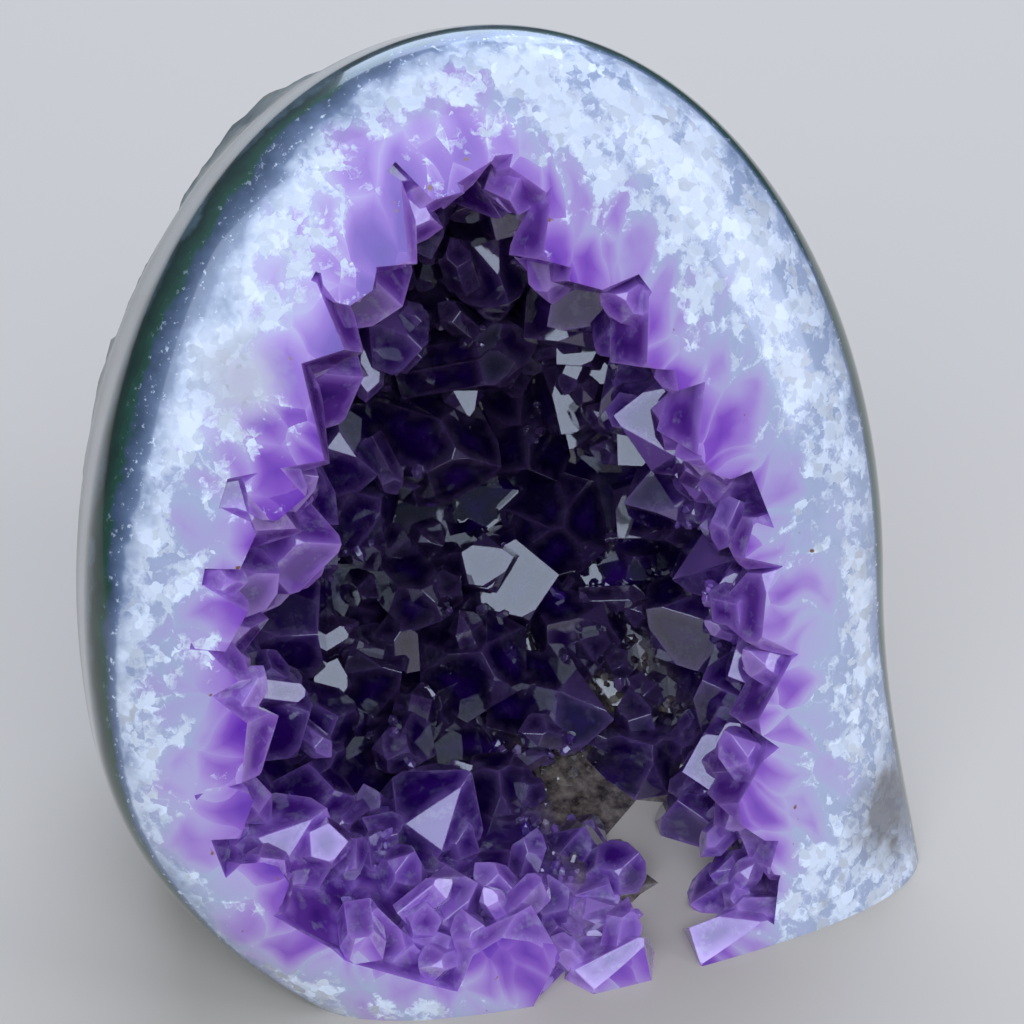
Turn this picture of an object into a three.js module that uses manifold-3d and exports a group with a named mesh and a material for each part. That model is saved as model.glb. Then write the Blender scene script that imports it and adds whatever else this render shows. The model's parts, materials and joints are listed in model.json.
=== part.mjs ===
// An amethyst geode: half a hollow nodule, cut across its mouth, polished round the mouth and sawn
// flat underneath so that it stands. It is two solids, which are the stone wall and the crust of
// quartz crystals that lines it. Millimetres, +Z up, the mouth towards -Y, the base on z = 0.
import * as THREE from "three";
import { ConvexGeometry } from "three/addons/geometries/ConvexGeometry.js";
import { mergeVertices } from "three/addons/utils/BufferGeometryUtils.js";
import Module from "manifold-3d";

const wasm = await Module();
wasm.setup();

// ---- Driving dimensions, mm and degrees ----------------------------------------------------
// Most places below are given in the frame of the mouth, as [right, up, out]. Its origin is the
// nodule's middle, its second axis runs up the leaning mouth and its third points out of it.
const LEAN = 22; // the mouth leans back from upright
const CENTRE_HEIGHT = 49; // the nodule's middle above the base, measured up the mouth
const BASE_POINT = [-2.27, -44.14]; // where the mouth's middle line meets the base plane

// The nodule's outer form. Its lower end swings to the right, where it stands on its toe.
const BODY = {
  halfWidth: 53.3,
  halfHeight: 73.5,
  front: 14.5, // from the widest section to the front of the polished bulge
  back: 61,
  widestAt: -9,
  frontSquareness: 2.6, // 2 is an ellipse, and more is squarer
  backSquareness: 2.2,
  lowerRightSquareness: 1.1, // added to 2 at the lower right corner
  aside: 1.7,
  slant: 0.05, // moves right by this share of the height
  toeSwing: 12.5,
  toeFrom: -6,
};
// Behind the polish the skin is lumpy, by waves that run several ways across it.
const SKIN = { from: -20, fullFrom: -34 };
const LUMPS = [
  { way: [0.8, 0.5, 0.3], length: 41, height: 0.9 },
  { way: [-0.4, 0.8, 0.5], length: 29, height: 0.7 },
  { way: [0.3, -0.5, 0.8], length: 35, height: 0.8 },
  { way: [0.9, -0.3, -0.4], length: 23, height: 0.5 },
];

// The stone's inner face, and inside it the bed, the face that the crystals stand on. Each is an
// egg whose lower end hooks to the right, where the sawn base opens it.
const INNER_FACE = {
  halfWidth: 43.5, up: 61.5, down: 65, front: 60, back: 45, at: [1, 6.5, -12],
  taper: 0.36, // narrower towards the top
  slant: 0.1, // further right towards the back
  shear: 0, // further right towards the top
  hook: 18, // further right at the lower end
  pinch: 0, // narrower at the lower end
  sink: 0, // the floor rises towards the back
  lip: 0, // the floor falls towards the front
  flare: 0, // wider at the mouth
};
const BED = {
  halfWidth: 37.5, up: 55, down: 51.5, front: 60, back: 38, at: [0.5, 6, -12],
  taper: 0.36, slant: 0.2, shear: 0.04, hook: 30, pinch: 0.45, sink: 0.2, lip: 0.75, flare: 0.05,
};
const FLARE_LENGTH = 14; // over this much of the way out, from the egg's widest section
const SEAM = 0.3; // air between the stone and the crust

// The crystals that one notices, each by its tip and the way that it points.
const CHIEF_CRYSTALS = [
  // round the top, and down the left side of the mouth
  { tip: [8, 50, -8], points: [-0.1, -0.7, 0.7], radius: 7, rise: 12 },
  { tip: [-12, 33, -8], points: [0.7, -0.1, 0.7], radius: 7, rise: 12 },
  { tip: [-18, 13, -7], points: [0.7, 0, 0.7], radius: 6, rise: 12 },
  { tip: [-34, -12, -5], points: [0.7, 0, 0.7], radius: 7, rise: 8 },
  { tip: [-35, -20, -6], points: [0.7, 0.2, 0.7], radius: 4.5, rise: 7 },
  // down the right side of the mouth
  { tip: [20, 41, -14], points: [-0.5, -0.6, 0.6], radius: 4, rise: 10 },
  { tip: [16, 44, -6], points: [-0.6, -0.6, 0.4], radius: 5.5, rise: 9 },
  { tip: [20, 36, -9], points: [-1, 0.1, 0.3], radius: 5.5, rise: 12 },
  { tip: [26, 27, -6], points: [-0.9, 0.1, 0.4], radius: 5.5, rise: 9 },
  { tip: [22, 21, -14], points: [-0.9, 0.3, 0.2], radius: 6.5, rise: 13 },
  { tip: [27, 16, -7], points: [-0.9, 0.3, 0.2], radius: 5.5, rise: 11 },
  { tip: [25, 6, -23], points: [-1, 0, 0.3], radius: 5.5, rise: 12 },
  { tip: [31, 6, -6], points: [-0.9, 0.1, 0.4], radius: 5.5, rise: 9 },
  { tip: [29, -4, -7], points: [-0.9, 0.2, 0.3], radius: 4.5, rise: 10 },
  { tip: [31, -15, -6], points: [-0.9, 0, 0.4], radius: 5.5, rise: 9 },
  { tip: [25, -29, -12], points: [-1, 0.1, 0.2], radius: 5.8, rise: 11 },
  { tip: [28, -36, -6], points: [-0.9, 0, 0.4], radius: 5, rise: 9 },
  { tip: [22, -45, -6], points: [-0.9, 0.2, 0.3], radius: 5.2, rise: 10 },
  // on the back wall, from the top down
  { tip: [12.5, 36, -25], points: [0, -0.6, 0.8], radius: 6.5, rise: 13 },
  { tip: [-1, 33, -20], points: [0.3, -0.2, 0.9], radius: 5, rise: 12 },
  { tip: [18.5, 29.5, -32], points: [0.8, 0.1, 0.6], radius: 6, rise: 16 },
  { tip: [22, 26, -35], points: [0.6, -0.3, 0.8], radius: 4.5, rise: 12 },
  { tip: [11.5, 13, -32], points: [0.7, -0.3, 0.7], radius: 7, rise: 16 },
  { tip: [0, -8, -34], points: [0.2, -0.4, 0.9], radius: 5, rise: 12 },
  { tip: [18, -5, -34], points: [0.4, 0.2, 0.9], radius: 7.5, rise: 14 },
  { tip: [3, -12, -30], points: [-0.2, 0.4, 0.9], radius: 8.5, rise: 14 },
  { tip: [21, -25, -27], points: [0.6, -0.1, 0.8], radius: 6.5, rise: 14 },
  { tip: [-27, -5, -20], points: [0.1, 0.4, 0.9], radius: 3.6, rise: 9 },
  { tip: [-23, -12, -19], points: [0.5, 0.2, 0.8], radius: 5.5, rise: 11 },
  { tip: [-10, -20, -26], points: [-0.2, 0.5, 0.8], radius: 4.5, rise: 10 },
  // on the floor
  { tip: [-22, -22, -15], points: [0.3, 0.4, 0.8], radius: 5.8, rise: 10 },
  { tip: [3, -28, -24], points: [-0.1, 0.6, 0.8], radius: 5.5, rise: 10 },
  { tip: [12, -36, -17], points: [0.1, 0.8, 0.6], radius: 5, rise: 10 },
  { tip: [-19, -28, -12], points: [0.1, 0.7, 0.7], radius: 6, rise: 9 },
  { tip: [-10, -34, -13], points: [0, 0.7, 0.7], radius: 4, rise: 8 },
  { tip: [-21, -33, -1], points: [0.2, 0.8, 0.6], radius: 6.8, rise: 9 },
  { tip: [-2, -35, -9], points: [0.3, 0.7, 0.6], radius: 6.8, rise: 11 },
  { tip: [12, -41, -9], points: [0.3, 0.6, 0.7], radius: 6.5, rise: 10 },
  { tip: [-30, -37, 0], points: [0, 0.5, 0.8], radius: 5, rise: 8 },
  { tip: [-21, -41, 0], points: [0.1, 0.6, 0.8], radius: 5.5, rise: 8 },
  { tip: [-12, -44, -1], points: [0.2, 0.6, 0.8], radius: 4.5, rise: 8 },
  { tip: [3, -43, -5], points: [0.2, 0.6, 0.8], radius: 5, rise: 9 },
  { tip: [13, -44, -6], points: [0.5, 0.5, 0.7], radius: 4.5, rise: 9 },
];
const CHIEF_FACE = [0.1, 0.7, 0.7]; // a chief crystal turns a large face about this way

// The rest, largest first. Spacing is the least distance between two, as a share of their radii.
const FILLERS = [
  { tries: 1500, radius: [6.4, 8.6], rise: [9, 12.5], spacing: 0.76 },
  { tries: 300, radius: [4.4, 5.6], rise: [7, 9.5], spacing: 0.8 },
];
const STRAY = 0.55; // how far a crystal strays from square to the bed, where 0 is not at all
const FURTHEST_OUT = 2; // no filler stands further out of the mouth than this
const BARE = { from: 13, to: 27, under: -34 }; // over the opening in the base, none stands
const SEED = 7;

// One crystal: a six-sided prism under six point faces, three of them large and three small.
const CRYSTAL = {
  root: 4, // how far it reaches into the bed
  sideReach: [0.82, 1.02], // its sides' distances from its axis, as shares of its radius
  largeFace: [-0.12, 0.12], // where the point faces cross its axis: rise plus a share of radius
  smallFace: [0.1, 0.55],
  faceSlope: 38.2, // between a point face and the axis, as in all quartz
};

// How finely each form is cut, round and along
const FACETS = { body: [36, 20], innerFace: [28, 14], bed: [16, 10] };

// ---- Random numbers and the frame of the mouth ---------------------------------------------
// Gives the same numbers from 0 to 1 on every run.
function randomFrom(seed) {
  let state = seed;
  return () => {
    state = (Math.imul(state, 1664525) + 1013904223) >>> 0;
    return state / 2 ** 32;
  };
}

const between = (random, [low, high]) => low + (high - low) * random();
const anyWay = (random) => new THREE.Vector3(random() - 0.5, random() - 0.5, random() - 0.5);

const lean = THREE.MathUtils.degToRad(LEAN);
const mouthToPart = new THREE.Matrix4()
  .makeBasis(
    new THREE.Vector3(1, 0, 0),
    new THREE.Vector3(0, Math.sin(lean), Math.cos(lean)),
    new THREE.Vector3(0, -Math.cos(lean), Math.sin(lean)),
  )
  .setPosition(
    BASE_POINT[0],
    BASE_POINT[1] + CENTRE_HEIGHT * Math.sin(lean),
    CENTRE_HEIGHT * Math.cos(lean),
  );

// ---- The forms -----------------------------------------------------------------------------
// How far a direction goes before it meets a superellipse.
const squareReach = (a, b, power) => (Math.abs(a) ** power + Math.abs(b) ** power) ** (-1 / power);

// The point of the nodule's outer form that lies in a direction.
function onBody(direction) {
  const out = direction.z > 0;
  const across = Math.hypot(direction.x, direction.y);
  const reach = squareReach(across, direction.z, out ? BODY.frontSquareness : BODY.backSquareness);
  const x = across ? direction.x / across : 1;
  const y = across ? direction.y / across : 0;
  const corner = BODY.lowerRightSquareness * Math.max(0, x) * Math.max(0, -y);
  const outline = across * reach * squareReach(x, y, 2 + corner);
  const up = y * outline * BODY.halfHeight;
  const toe = Math.max(0, BODY.toeFrom - up) / (CENTRE_HEIGHT + BODY.toeFrom);
  return new THREE.Vector3(
    BODY.aside + x * outline * BODY.halfWidth + BODY.slant * up + BODY.toeSwing * toe ** 2,
    up,
    BODY.widestAt + direction.z * reach * (out ? BODY.front : BODY.back),
  );
}

// Raises and lowers the skin where it is rough.
function roughen(point) {
  const rough = THREE.MathUtils.smoothstep(-point.z, -SKIN.from, -SKIN.fullFrom);
  const waves = LUMPS.map(({ way, length, height }) =>
    height * Math.sin((2 * Math.PI * point.dot(new THREE.Vector3(...way).normalize())) / length));
  return point.setLength(point.length() + rough * waves.reduce((sum, wave) => sum + wave));
}

// The point of an egg that lies in a direction.
function onEgg(egg, direction) {
  const behind = -direction.z * (direction.z > 0 ? egg.front : egg.back);
  const low = Math.max(0, -direction.y);
  const foot = (Math.max(0, low - 0.2) / 0.8) ** 3;
  const wide = 1 + egg.flare * THREE.MathUtils.smoothstep(-behind, 0, FLARE_LENGTH);
  const up = egg.at[1] + direction.y * wide * (direction.y > 0 ? egg.up : egg.down) +
    low * behind * (behind > 0 ? egg.sink : egg.lip);
  const halfWidth =
    egg.halfWidth * wide * (1 - egg.taper * direction.y) * (1 - egg.pinch * foot);
  return new THREE.Vector3(
    egg.at[0] + direction.x * halfWidth + egg.slant * behind + egg.shear * up + egg.hook * foot,
    up,
    egg.at[2] - behind,
  );
}

// A ball whose every corner is moved by a rule, set in the part's own frame.
function warpedBall([around, along], rule) {
  const geometry = new THREE.SphereGeometry(1, around, along).rotateX(Math.PI / 2);
  const position = geometry.getAttribute("position");
  for (let i = 0; i < position.count; i++) {
    const { x, y, z } = rule(new THREE.Vector3().fromBufferAttribute(position, i).normalize());
    position.setXYZ(i, x, y, z);
  }
  return geometry.applyMatrix4(mouthToPart);
}

// ---- Solids --------------------------------------------------------------------------------
function toSolid(geometry) {
  const bare = geometry.clone();
  bare.deleteAttribute("normal");
  bare.deleteAttribute("uv");
  const merged = mergeVertices(bare);
  return new wasm.Manifold(new wasm.Mesh({
    numProp: 3,
    vertProperties: merged.getAttribute("position").array,
    triVerts: new Uint32Array(merged.index.array),
  }));
}

// The volume inside a shell of triangles.
function shellVolume(position, corners) {
  let volume = 0;
  for (let i = 0; i < corners.length; i += 3) {
    const [a, b, c] = [0, 1, 2].map((k) =>
      new THREE.Vector3().fromBufferAttribute(position, corners[i + k]));
    volume += a.dot(b.cross(c)) / 6;
  }
  return volume;
}

// A solid's geometry without loose flakes and sealed pockets, so only its largest shell.
function toGeometry(solid) {
  const { vertProperties, triVerts } = solid.getMesh();
  const position = new THREE.BufferAttribute(vertProperties, 3);
  const parent = Array.from({ length: position.count }, (_, i) => i);
  const rootOf = (i) => {
    while (parent[i] !== i) {
      parent[i] = parent[parent[i]];
      i = parent[i];
    }
    return i;
  };
  for (let i = 0; i < triVerts.length; i += 3) {
    parent[rootOf(triVerts[i + 1])] = rootOf(triVerts[i]);
    parent[rootOf(triVerts[i + 2])] = rootOf(triVerts[i]);
  }
  const shells = new Map();
  for (let i = 0; i < triVerts.length; i += 3) {
    const root = rootOf(triVerts[i]);
    if (!shells.has(root)) shells.set(root, []);
    shells.get(root).push(...triVerts.subarray(i, i + 3));
  }
  const [largest] = [...shells.values()]
    .map((corners) => ({ corners, volume: shellVolume(position, corners) }))
    .sort((a, b) => b.volume - a.volume);
  return new THREE.BufferGeometry().setAttribute("position", position).setIndex(largest.corners);
}

// Everything under the saw cut.
function underBase() {
  const size = 4 * BODY.halfHeight;
  return toSolid(new THREE.BoxGeometry(size, size, size).translate(0, 0, -size / 2));
}

// ---- The crystals --------------------------------------------------------------------------
// A plane with its face turned a way round the axis and up by a slope, at a distance.
function crystalFace(turn, slope, distance) {
  const normal = new THREE.Vector3().setFromSphericalCoords(1, Math.PI / 2 - slope, turn);
  return new THREE.Plane(new THREE.Vector3(normal.x, normal.z, normal.y), -distance);
}

// The faces of one crystal that stands on its foot and points along +Z.
function crystalFaces(random, radius, rise) {
  const slope = THREE.MathUtils.degToRad(CRYSTAL.faceSlope);
  const faces = [crystalFace(0, -Math.PI / 2, CRYSTAL.root)];
  for (let side = 0; side < 6; side++) {
    const turn = (side * Math.PI) / 3;
    const crossing = side % 2 ? CRYSTAL.smallFace : CRYSTAL.largeFace;
    const top = rise + radius * between(random, crossing);
    faces.push(crystalFace(turn, 0, radius * between(random, CRYSTAL.sideReach)));
    faces.push(crystalFace(turn, slope, top * Math.sin(slope)));
  }
  return faces;
}

// The corners of the solid that a set of faces encloses.
function cornersInside(faces) {
  const corners = [];
  const rows = new THREE.Matrix3();
  for (const [i, a] of faces.entries()) {
    for (const [j, b] of faces.slice(0, i).entries()) {
      for (const c of faces.slice(0, j)) {
        rows.set(...a.normal, ...b.normal, ...c.normal);
        if (Math.abs(rows.determinant()) < 1e-4) continue;
        const corner = new THREE.Vector3(-a.constant, -b.constant, -c.constant);
        corner.applyMatrix3(rows.invert());
        const outside = faces.some((face) => face.distanceToPoint(corner) > 1e-5);
        const known = corners.some((other) => other.distanceTo(corner) < 1e-3);
        if (!outside && !known) corners.push(corner);
      }
    }
  }
  return corners;
}

// A crystal stands on its foot, with its first side, a large one, turned towards a given side.
function crystal({ foot, axis, radius, rise, towards }, random) {
  const side = towards.clone().projectOnPlane(axis).normalize();
  const stand = new THREE.Matrix4()
    .makeBasis(side, new THREE.Vector3().crossVectors(axis, side), axis)
    .setPosition(foot);
  return new ConvexGeometry(cornersInside(crystalFaces(random, radius, rise)))
    .applyMatrix4(stand)
    .applyMatrix4(mouthToPart);
}

// Square to the bed, into the hollow.
function inward(direction) {
  const nearby = (way) => onEgg(BED, way.multiplyScalar(0.02).add(direction).normalize());
  const side = new THREE.Vector3(-direction.y, direction.x, 0).normalize();
  const other = new THREE.Vector3().crossVectors(direction, side);
  const here = onEgg(BED, direction);
  const normal = nearby(side).sub(here).cross(nearby(other).sub(here)).normalize();
  return normal.dot(direction) > 0 ? normal.negate() : normal;
}

// The chief crystals, and then fillers at random wherever one clears all those before it.
function crystalSpots(random) {
  const spots = CHIEF_CRYSTALS.map(({ tip, points, radius, rise }) => {
    const axis = new THREE.Vector3(...points).normalize();
    const foot = new THREE.Vector3(...tip).addScaledVector(axis, -rise);
    const towards = anyWay(random).add(new THREE.Vector3(...CHIEF_FACE));
    return { foot, axis, radius, rise, towards };
  });
  for (const filler of FILLERS) {
    for (let i = 0; i < filler.tries; i++) {
      const height = 1 - 2 * random();
      const direction = new THREE.Vector3()
        .setFromCylindricalCoords(Math.sqrt(1 - height ** 2), 2 * Math.PI * random(), height);
      const radius = between(random, filler.radius);
      const rise = between(random, filler.rise);
      const foot = onEgg(BED, direction);
      const overOpening = foot.y < BARE.under && foot.x > BARE.from && foot.x < BARE.to;
      const crowded = (spot) =>
        spot.foot.distanceTo(foot) < filler.spacing * (spot.radius + radius);
      if (foot.z > FURTHEST_OUT || overOpening || spots.some(crowded)) continue;
      const axis = anyWay(random).multiplyScalar(STRAY).add(inward(direction)).normalize();
      spots.push({ foot, axis, radius, rise, towards: anyWay(random) });
    }
  }
  return spots;
}

// ---- The geode -----------------------------------------------------------------------------
const body = toSolid(warpedBall(FACETS.body, (way) => roughen(onBody(way))));

function stoneWall() {
  const inside = toSolid(warpedBall(FACETS.innerFace, (way) => onEgg(INNER_FACE, way)));
  return body.subtract(inside).subtract(underBase());
}

// The crust fills the stone's inside but for the room that the bed and its crystals leave.
function amethystCrust() {
  const { halfWidth, up, down, back } = INNER_FACE;
  const outerFace = { ...INNER_FACE, halfWidth: halfWidth - SEAM, up: up - SEAM, down: down - SEAM,
    back: back - SEAM };
  const inside = toSolid(warpedBall(FACETS.innerFace, (way) => onEgg(outerFace, way)));
  const random = randomFrom(SEED);
  let room = toSolid(warpedBall(FACETS.bed, (way) => onEgg(BED, way)));
  for (const spot of crystalSpots(random)) room = room.subtract(toSolid(crystal(spot, random)));
  return inside.intersect(body).subtract(room).subtract(underBase());
}

const geode = new THREE.Group();

function addPiece(name, solid, finish) {
  const mesh = new THREE.Mesh(toGeometry(solid), new THREE.MeshStandardMaterial(finish));
  mesh.name = name;
  geode.add(mesh);
}

addPiece("stone_wall", stoneWall(), { color: 0xb9bfca, roughness: 0.3, metalness: 0 });
addPiece("amethyst_crust", amethystCrust(), { color: 0x4a2b80, roughness: 0.08, metalness: 0 });

export default geode;
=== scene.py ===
"""An amethyst geode, dressed: the stone wall with its bands, its polish and its rough back, and the crust
of purple crystals inside it. Shapes are worked out in millimetres in the frame of the mouth, as
[right, up, out], and are set into the part's own frame, in metres, when a mesh is made."""

import itertools
import json
import math

import bmesh
import bpy
import numpy as np
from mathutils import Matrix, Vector, noise
from mathutils.bvhtree import BVHTree
from mathutils.kdtree import KDTree

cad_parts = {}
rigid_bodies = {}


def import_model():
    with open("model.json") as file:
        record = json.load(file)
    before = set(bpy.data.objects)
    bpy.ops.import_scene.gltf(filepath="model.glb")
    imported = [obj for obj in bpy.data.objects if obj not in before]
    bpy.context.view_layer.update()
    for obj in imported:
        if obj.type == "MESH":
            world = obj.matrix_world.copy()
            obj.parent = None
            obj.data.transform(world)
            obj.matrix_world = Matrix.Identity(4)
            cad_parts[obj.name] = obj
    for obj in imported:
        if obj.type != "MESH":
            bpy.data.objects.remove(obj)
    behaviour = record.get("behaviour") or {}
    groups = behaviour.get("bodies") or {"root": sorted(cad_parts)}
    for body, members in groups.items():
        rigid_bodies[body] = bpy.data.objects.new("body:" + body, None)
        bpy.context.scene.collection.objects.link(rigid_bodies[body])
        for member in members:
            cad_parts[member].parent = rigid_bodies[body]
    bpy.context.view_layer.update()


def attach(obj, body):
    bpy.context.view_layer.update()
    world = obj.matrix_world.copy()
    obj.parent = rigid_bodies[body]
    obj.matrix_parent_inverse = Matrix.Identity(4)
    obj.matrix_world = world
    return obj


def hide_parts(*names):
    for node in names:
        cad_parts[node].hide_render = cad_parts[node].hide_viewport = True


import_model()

MM = 0.001

# ---- Driving dimensions, mm and degrees, the same as the part's own ----
LEAN = math.radians(22)  # the mouth leans back from upright
CENTRE_HEIGHT = 49  # the nodule's middle above the base, measured up the mouth
BASE_POINT = (-2.27, -44.14)  # where the mouth's middle line meets the base plane

# The nodule's outer form
BODY = dict(
    half_width=53.3, half_height=73.5, front=14.5, back=61, widest_at=-9, front_squareness=2.6,
    back_squareness=2.2, lower_right_squareness=1.1, aside=1.7, slant=0.05, toe_swing=12.5, toe_from=-6,
)
ROUGH_FROM, ROUGH_FULL_FROM = -20, -34  # behind the polish the skin is rough
LUMPS = (  # way, length and height of each wave
    ((0.8, 0.5, 0.3), 41, 0.9),
    ((-0.4, 0.8, 0.5), 29, 0.7),
    ((0.3, -0.5, 0.8), 35, 0.8),
    ((0.9, -0.3, -0.4), 23, 0.5),
)

# The stone's inner face, and the bed that the crystals stand on
INNER_FACE = dict(
    half_width=43.5, up=61.5, down=65, front=60, back=45, at=(1, 6.5, -12), taper=0.36, slant=0.1,
    shear=0, hook=18, pinch=0, sink=0, lip=0, flare=0,
)
BED = dict(
    half_width=37.5, up=55, down=51.5, front=60, back=38, at=(0.5, 6, -12), taper=0.36, slant=0.2,
    shear=0.04, hook=30, pinch=0.45, sink=0.2, lip=0.75, flare=0.05,
)
FLARE_LENGTH = 14

# The crystals that one notices: tip, the way it points, radius and rise
CHIEF_CRYSTALS = (
    # round the top, and down the left side of the mouth
    ((8, 50, -8), (-0.1, -0.7, 0.7), 7, 12),
    ((-12, 33, -8), (0.7, -0.1, 0.7), 7, 12),
    ((-18, 13, -7), (0.7, 0, 0.7), 6, 12),
    ((-34, -12, -5), (0.7, 0, 0.7), 7, 8),
    ((-35, -20, -6), (0.7, 0.2, 0.7), 4.5, 7),
    # down the right side of the mouth
    ((20, 41, -14), (-0.5, -0.6, 0.6), 4, 10),
    ((16, 44, -6), (-0.6, -0.6, 0.4), 5.5, 9),
    ((20, 36, -9), (-1, 0.1, 0.3), 5.5, 12),
    ((26, 27, -6), (-0.9, 0.1, 0.4), 5.5, 9),
    ((22, 21, -14), (-0.9, 0.3, 0.2), 6.5, 13),
    ((27, 16, -7), (-0.9, 0.3, 0.2), 5.5, 11),
    ((25, 6, -23), (-1, 0, 0.3), 5.5, 12),
    ((31, 6, -6), (-0.9, 0.1, 0.4), 5.5, 9),
    ((29, -4, -7), (-0.9, 0.2, 0.3), 4.5, 10),
    ((31, -15, -6), (-0.9, 0, 0.4), 5.5, 9),
    ((25, -29, -12), (-1, 0.1, 0.2), 5.8, 11),
    ((28, -36, -6), (-0.9, 0, 0.4), 5, 9),
    ((22, -45, -6), (-0.9, 0.2, 0.3), 5.2, 10),
    # on the back wall, from the top down
    ((12.5, 36, -25), (0, -0.6, 0.8), 6.5, 13),
    ((-1, 33, -20), (0.3, -0.2, 0.9), 5, 12),
    ((18.5, 29.5, -32), (0.8, 0.1, 0.6), 6, 16),
    ((22, 26, -35), (0.6, -0.3, 0.8), 4.5, 12),
    ((11.5, 13, -32), (0.7, -0.3, 0.7), 7, 16),
    ((0, -8, -34), (0.2, -0.4, 0.9), 5, 12),
    ((18, -5, -34), (0.4, 0.2, 0.9), 7.5, 14),
    ((3, -12, -30), (-0.2, 0.4, 0.9), 8.5, 14),
    ((21, -25, -27), (0.6, -0.1, 0.8), 6.5, 14),
    ((-27, -5, -20), (0.1, 0.4, 0.9), 3.6, 9),
    ((-23, -12, -19), (0.5, 0.2, 0.8), 5.5, 11),
    ((-10, -20, -26), (-0.2, 0.5, 0.8), 4.5, 10),
    # on the floor
    ((-22, -22, -15), (0.3, 0.4, 0.8), 5.8, 10),
    ((3, -28, -24), (-0.1, 0.6, 0.8), 5.5, 10),
    ((12, -36, -17), (0.1, 0.8, 0.6), 5, 10),
    ((-19, -28, -12), (0.1, 0.7, 0.7), 6, 9),
    ((-10, -34, -13), (0, 0.7, 0.7), 4, 8),
    ((-21, -33, -1), (0.2, 0.8, 0.6), 6.8, 9),
    ((-2, -35, -9), (0.3, 0.7, 0.6), 6.8, 11),
    ((12, -41, -9), (0.3, 0.6, 0.7), 6.5, 10),
    ((-30, -37, 0), (0, 0.5, 0.8), 5, 8),
    ((-21, -41, 0), (0.1, 0.6, 0.8), 5.5, 8),
    ((-12, -44, -1), (0.2, 0.6, 0.8), 4.5, 8),
    ((3, -43, -5), (0.2, 0.6, 0.8), 5, 9),
    ((13, -44, -6), (0.5, 0.5, 0.7), 4.5, 9),
)
CHIEF_FACE = (0.1, 0.7, 0.7)  # a chief crystal turns a large face about this way

# The rest, largest first: tries, radii, rises, and the least spacing as a share of two radii
FILLERS = (
    (1500, (6.4, 8.6), (9, 12.5), 0.76),
    (300, (4.4, 5.6), (7, 9.5), 0.8),
)
STRAY = 0.55  # how far a crystal strays from square to the bed, where 0 is not at all
FURTHEST_OUT = 2
BARE_FROM, BARE_TO, BARE_UNDER = 13, 27, -34  # over the opening in the base, none stands
SEED = 7

# One crystal
ROOT = 4  # how far it reaches into the bed
SIDE_REACH = (0.82, 1.02)  # its sides' distances from its axis, as shares of its radius
LARGE_FACE, SMALL_FACE = (-0.12, 0.12), (0.1, 0.55)
FACE_SLOPE = math.radians(38.2)  # between a point face and the axis, as in all quartz

# ---- What the looks add ----
SKIN_GRID = 96  # squares along a quarter of the nodule's outer form, about 0.9 mm each
GRAIN = ((7, 0.7), (3, 0.45), (1.5, 0.25))  # lengths and heights of the rough skin's relief
PIT_DEPTH, PIT_SPACING, PIT_RARITY = 4, 5, 0.28
LAP = 0.6  # the crust reaches this far into the stone, so that no seam shows
FLUSH = 0.01  # and its polished face lies this far under the stone's
WORN_EDGE = 0.1  # a crystal's edges are worn to this width
EXTRA_CRYSTALS = (  # they close the foot of the mouth: tip, the way it points, radius and rise
    ((8.5, -43.5, -8), (0.3, 0.7, 0.6), 4, 8),
    ((17, -38, -10), (0.4, 0.6, 0.6), 4, 8),
)
EDGE_CRYSTALS = (  # and these stand at the mouth's edge, in the corners that cut crystals leave
    ((-6.5, 41.5, -4), (0.5, -0.5, 0.7), 6.2, 12),
    ((-16, 36.5, -4.5), (0.6, -0.2, 0.7), 4.2, 10),
    ((-20, 23, -3.5), (0.7, 0.1, 0.7), 6.4, 12),
    ((-27, 12, -3.5), (0.6, 0.2, 0.7), 4.4, 9),
    ((-31.5, 19, 6), (0.45, 0, 0.9), 4.2, 12),
    ((-34, 9, 6), (0.45, -0.1, 0.9), 4.2, 12),
    ((-26, 22, 6), (0.2, -0.35, 0.9), 3.8, 12),
    ((-14, 45.5, 6), (0.1, -0.4, 0.9), 3.6, 12),
    ((25, 27.5, 6), (-0.2, -0.35, 0.9), 3.6, 12),
    ((32, 5, 6), (-0.45, 0, 0.9), 3.8, 12),
    ((-36.5, -14, 6), (0.45, 0.1, 0.9), 3.8, 12),
    ((-34, -25, 6), (0.45, 0.1, 0.9), 3.8, 12),
    ((31, -38, 6), (-0.45, 0, 0.9), 3.8, 12),
)
DRUSE_KINDS = 6
COMPANIONS = (0, 2)  # a crystal has this many smaller ones grown along its sides
OFFSHOOTS = (  # grown on: tries, radii, rises, least spacing, how open and how deep a place may be
    ("bed", 260, (2.4, 3.8), (4.0, 7.0), 0.85, 2, 60),
    ("facet", 420, (1.8, 3.2), (3.0, 5.5), 0.9, 4, 6),
    ("facet", 200, (1.5, 3.2), (3.2, 6.0), 0.9, 0.7, 60),
)
RIND = dict(least=0.6, upper_left=1.6, right=2.4)  # width of the green rind, mm
AGATE = dict(least=0.5, upper_left=3.6, left=0.3)  # width of the blue-grey agate inside it, mm
WHITE_QUARTZ = dict(right=2.5, lower_right=4, left=1)  # so much later does the violet set in, mm
CREAM_PATCH = (-28.5, 38.5, 3.5, 7)  # a greyish-cream patch of the rim, and its radius
SMOKY_PATCH = (49, -37, -4, 11)  # and a smoky one
SNOW = dict(upper_left=0.14, less_right=0.05)  # how much more frosted the quartz is there, with more white flecks and painted glints
PALER_AND_LESS_SHADED_ON_THE_LEFT = 12  # there the violet and its painted shade are only as deep as they are this much nearer the mouth
QUARTZ_WIDTH = 8
RIPENING = 12  # a cloud puts the violet this much earlier or later
CLOUDINESS, CLOUD_WIDTH, FROST_WIDTH = 0.2, 8, 5
BENT_BY, BENT_OVER = 1.5, 5  # the cut crystals' outlines are bent by this, over this length
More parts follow.
